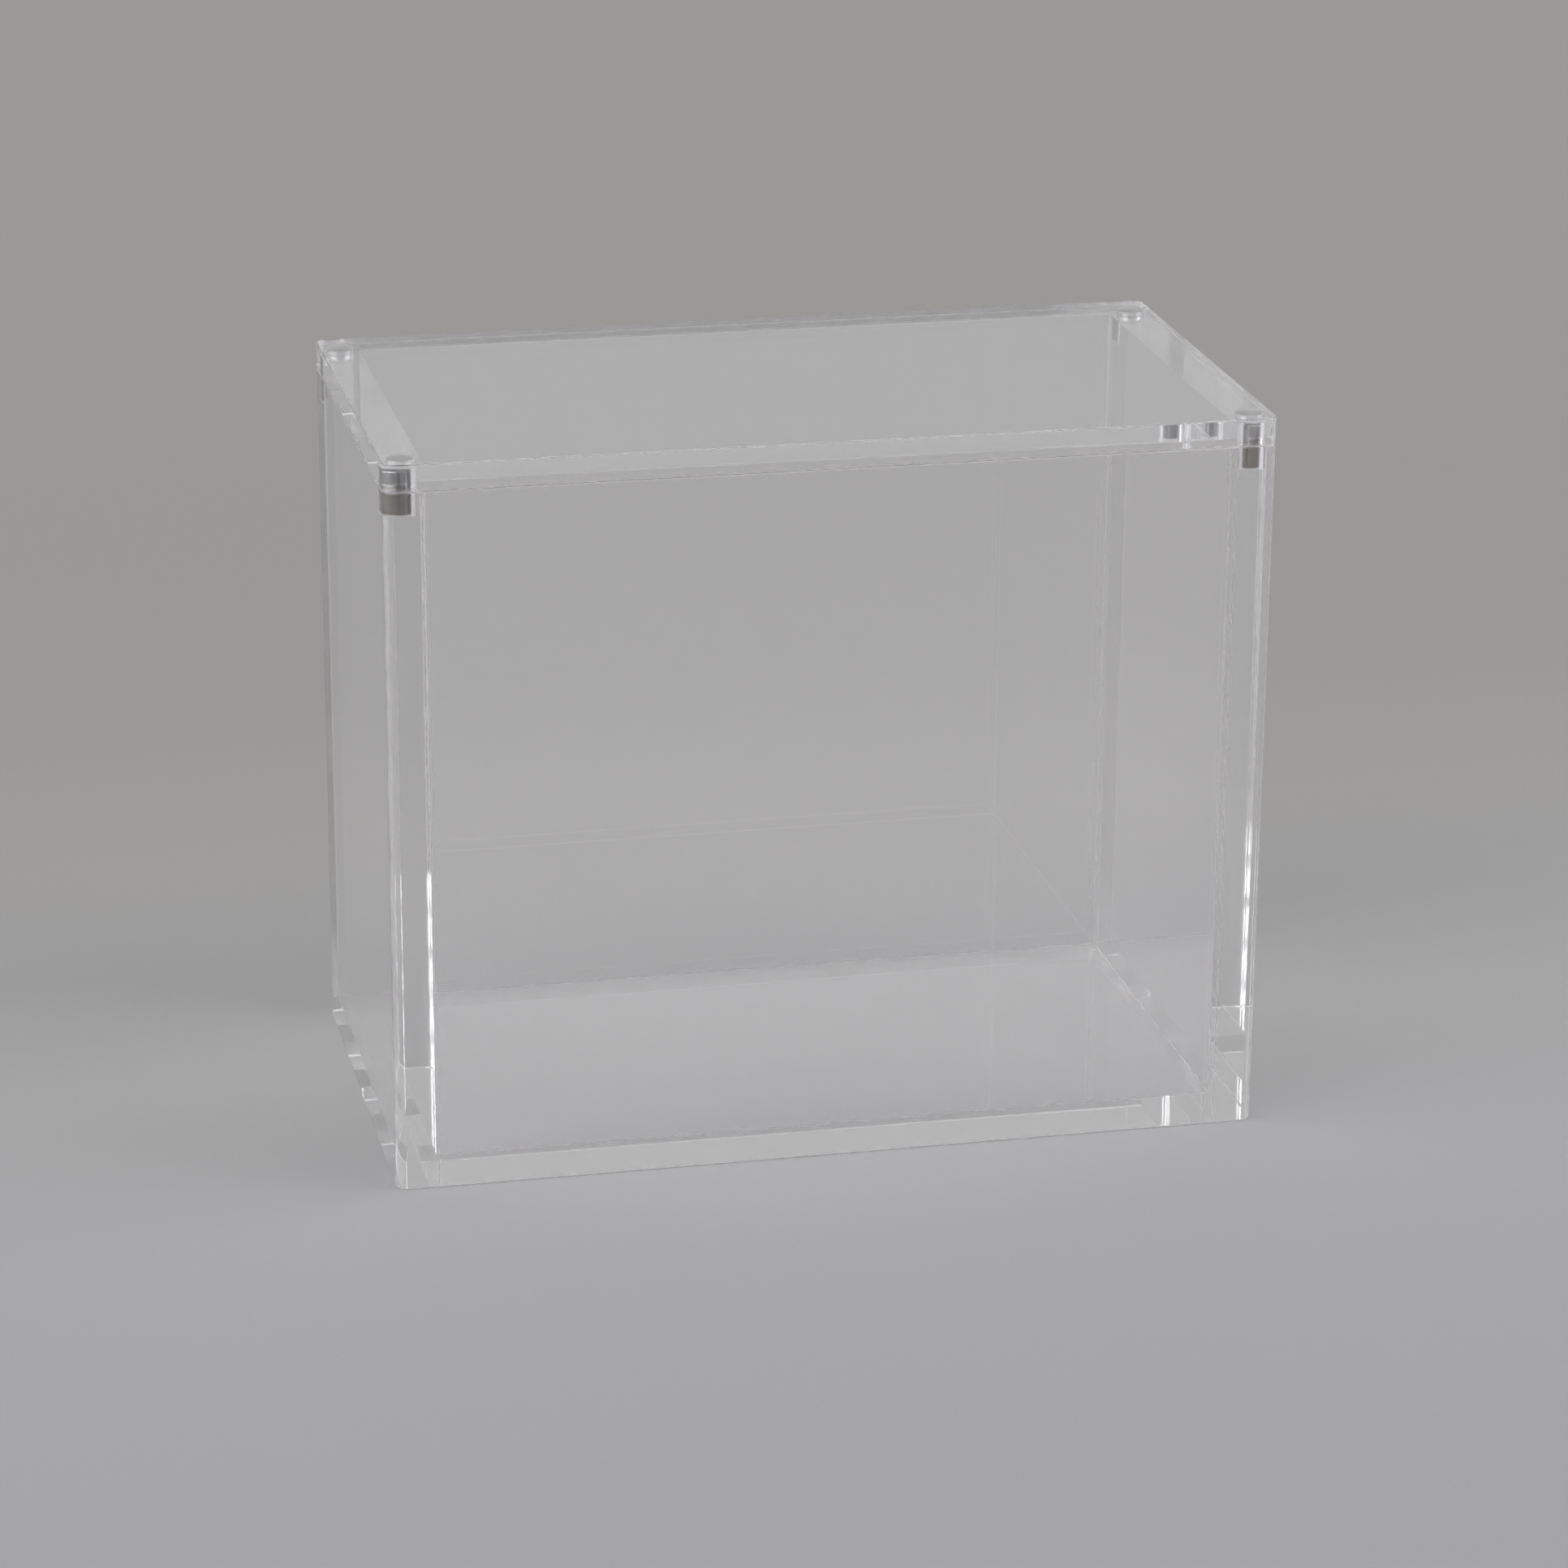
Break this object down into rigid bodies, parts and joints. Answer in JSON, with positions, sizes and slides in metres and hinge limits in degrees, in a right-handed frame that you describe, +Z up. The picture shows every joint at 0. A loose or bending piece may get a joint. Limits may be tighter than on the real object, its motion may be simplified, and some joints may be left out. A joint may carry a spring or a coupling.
{
  "type": "acrylic storage box with lid",
  "caption": "Clear acrylic storage box of bonded sheet with rounded upright corners and a flat lift-off lid that closes on small disc magnets at its corners",
  "frame": {"origin": "middle of the underside, on the ground", "axes": "+X along the width to the viewer's right, +Y from the front to the back, +Z up"},
  "size_m": [0.21, 0.1152, 0.1769],
  "materials": {
    "clear_acrylic": "polished, water clear",
    "nickel_plate": "bright nickel plate"
  },
  "bodies": {
    "box": {"left_panel": "clear_acrylic", "right_panel": "clear_acrylic", "front_panel": "clear_acrylic", "back_panel": "clear_acrylic", "base_panel": "clear_acrylic", "box_magnet_front_left": "nickel_plate", "box_magnet_front_right": "nickel_plate", "box_magnet_back_left": "nickel_plate", "box_magnet_back_right": "nickel_plate"},
    "lid": {"lid_panel": "clear_acrylic", "lid_magnet_front_left": "nickel_plate", "lid_magnet_front_right": "nickel_plate", "lid_magnet_back_left": "nickel_plate", "lid_magnet_back_right": "nickel_plate"}
  },
  "joints": [
    {"name": "lid_lift", "type": "slide", "parent": "box", "child": "lid", "axis": [0, 0, 1], "range_m": [0, 0.18]}
  ]
}
